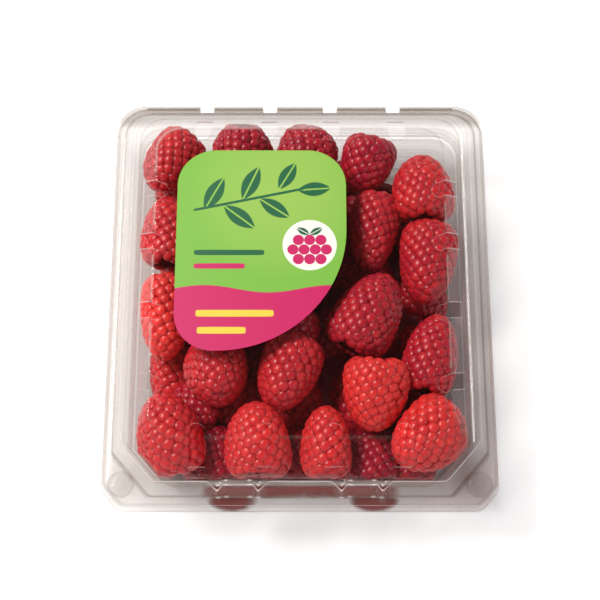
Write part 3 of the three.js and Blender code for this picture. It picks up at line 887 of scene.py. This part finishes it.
# The upper layer, also under the label: x, y, z, width, length, tip azimuth, tip lift and ripeness.
# The last three of the back ones belong to the lower layer, along the back wall.
BACK_BERRIES = [
    (-42.3, 47.2, 28.6, 18, 23, 237, 5, 0.4),
    (-20, 50, 29, 19.5, 20, 230, 10, 0.1),
    (1.2, 48.6, 29, 20, 20, 240, 10, 0.1),
    (21.9, 45.6, 30.5, 18.5, 20, 255, -20, 0.15),
    (40, 37.3, 29.5, 21, 23, 92, 8, 0.45),
    (-42.6, 22.4, 28.4, 17.5, 25, 92, 0, 0.45),
    (40.8, 11.6, 28.6, 19.6, 28, 264, 0, 0.3),
    (23.8, 22.6, 28, 16.5, 27.5, 262, -4, 0.3),
    (-24, 30.5, 28.6, 20, 23, 205, 0, 0.3),
    (-1, 28.5, 29, 21, 24, 15, 10, 0.3),
    (-24.5, 11.5, 29.4, 20, 22, 100, 5, 0.4),
    (-1.5, 9, 29, 20.5, 24, 185, 0, 0.3),
    (12.6, 47, 11.4, 18.5, 23, 10, 0, 0.2),
    (-12.5, 47.5, 11.4, 18.5, 23, 195, 0, 0.3),
    (-37.8, 45, 11.4, 18.5, 22, 60, 0, 0.4),
]
FRONT_BERRIES = [
    (-42.4, -6.9, 28.6, 17.5, 28.5, 268, 0, 0.85),
    (-40.4, -44.6, 28.6, 21.5, 26, 105, 30, 0.5),
    (-26, -25.8, 29, 21.5, 22, 275, 35, 0.4),
    (-4, -25.7, 30.5, 20, 25.5, 252, 5, 0.4),
    (-13, -46.8, 28.6, 21, 24.5, 94, 28, 0.6),
    (8, -47.2, 27.6, 16.5, 23, 91, 25, 0.6),
    (39, -46, 29, 22, 24.5, 218, 8, 0.7),
    (23.2, -32.6, 31, 20.5, 24, 266, -18, 0.78),
    (41.2, -19.3, 28.6, 18.2, 27, 76, 5, 0.22),
    (21.8, -6.6, 31, 22, 28.5, 62, 6, 0.2),
    (-25, -7, 28.8, 19, 21, 30, 10, 0.4),
    (-3.5, -8.6, 28.4, 18.5, 21, 340, 0, 0.2),
]
# The lower layer, along the other walls and in the gaps of the upper one
LOWER_BERRIES = [
    (-41, -22, 12, 17, 21, 265, 0, 0.5),
    (-33, -33, 15, 18, 20, 140, 0, 0.1),
    (-27, -49, 16, 18, 21, 75, 5, 0.0),
    (-42, -42, 10, 17, 22, 290, 0, 0.2),
    (-14, -49.5, 10.5, 17, 20, 80, 0, 0.1),
    (-1.5, -49, 15.5, 17, 20, 100, 5, 0.0),
    (10, -49.5, 10.5, 17, 20, 275, 0, 0.1),
    (22.5, -49, 15.5, 18, 21, 85, 5, 0.0),
    (34, -48, 10.5, 17, 20, 100, 0, 0.1),
    (42.5, -38, 10.5, 17, 22, 60, 0, 0.2),
    (40, -16, 11.4, 18, 24, 275, 0, 0.3),
    (40, 9, 11, 18, 23, 88, 0, 0.3),
    (39.5, 28, 13, 18, 22, 80, 10, 0.3),
    (-40.5, 22, 11.4, 17.5, 22, 275, 0, 0.5),
    (-40.5, 0, 11.4, 17.5, 22, 95, 0, 0.5),
    (6.5, -9, 14, 18, 21, 200, 5, 0.1),
    (-15, -16, 13, 18, 21, 100, 0, 0.2),
    (14, 14, 13, 18, 22, 300, 0, 0.1),
]
# Berries out of sight under the others, in rows that lie one way and the other
HIDDEN_ROWS = {-30: (-22, -1, 19), -8: (-22, 22), 10: (-22, 0, 20), 30: (-20, 1, 21)}
HIDDEN_HEIGHT = 12.5
draw = random.Random(5)
HIDDEN_BERRIES = [
    (x, y, HIDDEN_HEIGHT, 20, 23, draw.uniform(0, 360), draw.uniform(-10, 10), 0.2)
    for y, row in HIDDEN_ROWS.items()
    for x in row
]
make_berries("raspberries_back", BACK_BERRIES, raspberry_skin)
front_berries = make_berries("raspberries_front", FRONT_BERRIES, raspberry_skin)
make_berries("raspberries_lower", LOWER_BERRIES, raspberry_skin)
make_berries("raspberries_hidden", HIDDEN_BERRIES, raspberry_skin, COARSE_SPACING)
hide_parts("raspberries")

# The heart of the heap: one lumpy dark mass at half height, painted shade that fills what the whole
# berries leave, clear of the free corner at the right of the back.
CORE_OUTLINE = [(-38, -51), (32, -51), (41, -42), (41, 34), (28, 48), (-41, 48), (-43, -44)]
CORE_LOW = 8.5
CORE_HIGH = 17.5
CORE_LUMP = 2.2
CORE_EDGE = 5
core_bm = bmesh.new()
core_crown = core_bm.verts.layers.float.new("crown")
core_ripe = core_bm.verts.layers.float.new("ripeness")
core_face = core_bm.faces.new([core_bm.verts.new((x, y, CORE_LOW)) for x, y in CORE_OUTLINE])
draw_out(core_bm, core_face, (0, 0, CORE_HIGH - CORE_LOW))
bmesh.ops.triangulate(core_bm, faces=core_bm.faces)
for _ in range(5):
    long_edges = [e for e in core_bm.edges if e.calc_length() > CORE_EDGE]
    bmesh.ops.subdivide_edges(core_bm, edges=long_edges, cuts=1)
    bmesh.ops.triangulate(core_bm, faces=core_bm.faces)
bmesh.ops.recalc_face_normals(core_bm, faces=core_bm.faces)
core_bm.normal_update()
for vert in core_bm.verts:
    swell = noise.noise(vert.co / 6) + 0.5 * noise.noise(vert.co / 2.5)
    vert.co += vert.normal * (swell - 0.6) * CORE_LUMP
    # Dark, in the berries' pit tone, as painted shade
    vert[core_crown] = -0.8
    vert[core_ripe] = 0.05
smooth(core_bm)
core_mesh = mesh_of(core_bm, "painted_shade_heart")
core_mesh.transform(Matrix.Scale(MM, 4))
core = finished_piece("painted_shade_heart", core_mesh, raspberry_skin)
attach(core, "tray")
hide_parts("raspberries")

# The label: a thin satin film stuck on the lid's panel, rounded, with one corner swept away. Printed
# in a green field over a magenta one, with plain leaves, bars and a berry of dots.
label_low, label_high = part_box("label")
LABEL_ROUND = 12
LABEL_SWEEP = 40
LABEL_SINK = 0.15 * MM
LABEL_THICK = 0.2 * MM
left, right = label_low.x / MM, label_high.x / MM
near, far = label_low.y / MM, label_high.y / MM
tag = arc((right - LABEL_SWEEP, near + LABEL_SWEEP), LABEL_SWEEP, -90, 0, 24)
tag += arc((right - LABEL_ROUND, far - LABEL_ROUND), LABEL_ROUND, 0, 90, 12)
tag += arc((left + LABEL_ROUND, far - LABEL_ROUND), LABEL_ROUND, 90, 180, 12)
tag += arc((left + LABEL_ROUND, near + LABEL_ROUND), LABEL_ROUND, 180, 270, 12)
label_bm = bmesh.new()
for x, y in tag:
    label_bm.verts.new((x * MM, y * MM, label_low.z - LABEL_SINK))
bmesh.ops.remove_doubles(label_bm, verts=label_bm.verts, dist=1e-6)
label_face = label_bm.faces.new(list(label_bm.verts))
draw_out(label_bm, label_face, (0, 0, LABEL_THICK))
bmesh.ops.recalc_face_normals(label_bm, faces=label_bm.faces)

label_finish = Finish("label_print")
across, up = (label_finish.add("SeparateXYZ", {}, {0: label_finish.place()}, i) / MM for i in range(2))
PRINT_GREEN = (0.012, 0.12, 0.045)
PRINT_PINK = (0.585, 0.013, 0.12)
PRINT_CREAM = (0.86, 0.86, 0.8)
PRINT_YELLOW = (0.85, 0.62, 0.06)
GLOW_MIDDLE = (-6, 30)
GLOW_REACH = 30
SEAM_Y = -3.0
SEAM_SWING = 1.2
SEAM_TURN = 0.16
seam = (across * SEAM_TURN).sine() * SEAM_SWING + SEAM_Y
off_glow = (across - GLOW_MIDDLE[0]) ** 2 + (up - GLOW_MIDDLE[1]) ** 2
glow = (1 - off_glow / GLOW_REACH**2).clamp()
green = label_finish.mix(glow, (0.20, 0.48, 0.055), (0.315, 0.53, 0.09))
tone = label_finish.mix(((up - seam) * 4 + 0.5).clamp(), PRINT_PINK, green)

# Leaves on a stalk, a berry of round dots and bars: kind, x, y, turn, length, width, colour
DOT_ROWS = {6.8: (-3.5, 0, 3.5), 10: (-5.2, -1.75, 1.75, 5.2), 13.2: (-3.5, 0, 3.5)}
MOTIFS = [
    ("bar", -16, 27, 12, 36, 0.9, PRINT_GREEN),
    ("leaf", -27, 29, 62, 13, 5.5, PRINT_GREEN),
    ("leaf", -19, 21, -38, 13, 5.5, PRINT_GREEN),
    ("leaf", -15.5, 32.5, 66, 13, 5.5, PRINT_GREEN),
    ("leaf", -8, 24, -34, 12, 5.2, PRINT_GREEN),
    ("leaf", -4, 35, 60, 11, 5, PRINT_GREEN),
    ("leaf", 4.5, 30.5, 4, 11, 5, PRINT_GREEN),
    ("dot", 3, 11.5, 0, 17, 17, PRINT_CREAM),
    *[("dot", 3 + x, y, 0, 3.6, 3.6, PRINT_PINK) for y, row in DOT_ROWS.items() for x in row],
    ("leaf", 1, 16.1, 150, 5, 2.4, PRINT_GREEN),
    ("leaf", 5, 16.1, 30, 5, 2.4, PRINT_GREEN),
    ("bar", -22, 9, 0, 22, 1.8, PRINT_GREEN),
    ("bar", -25, 4.5, 0, 16, 1.8, PRINT_PINK),
    ("bar", -20, -11, 0, 24, 2.2, PRINT_YELLOW),
    ("bar", -24, -16.5, 0, 15, 2.2, PRINT_YELLOW),
]
for kind, x, y, turn, length, width, colour in MOTIFS:
    c, s = math.cos(math.radians(turn)), math.sin(math.radians(turn))
    along = ((across - x) * c + (up - y) * s) * (2 / length)
    beside = ((up - y) * c - (across - x) * s) * (2 / width)
    if kind == "leaf":
        inside = (1 - along * along - abs(beside)) * (abs(beside) > 0.1)
    elif kind == "dot":
        inside = 1 - along * along - beside * beside
    else:
        inside = (1 - abs(along)) * (1 - abs(beside)) * (1 - abs(along) > 0) * length
    tone = label_finish.mix((inside * (width * 2)).clamp(), tone, colour)
label_print = label_finish.show(
    label_finish.shine({"Base Color": tone, "Roughness": 0.35, "Coat Weight": 0.2, "Coat Roughness": 0.1})
)
label = finished_piece("label_tag", mesh_of(label_bm, "label_tag"), label_print)
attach(label, "lid")
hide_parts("label")
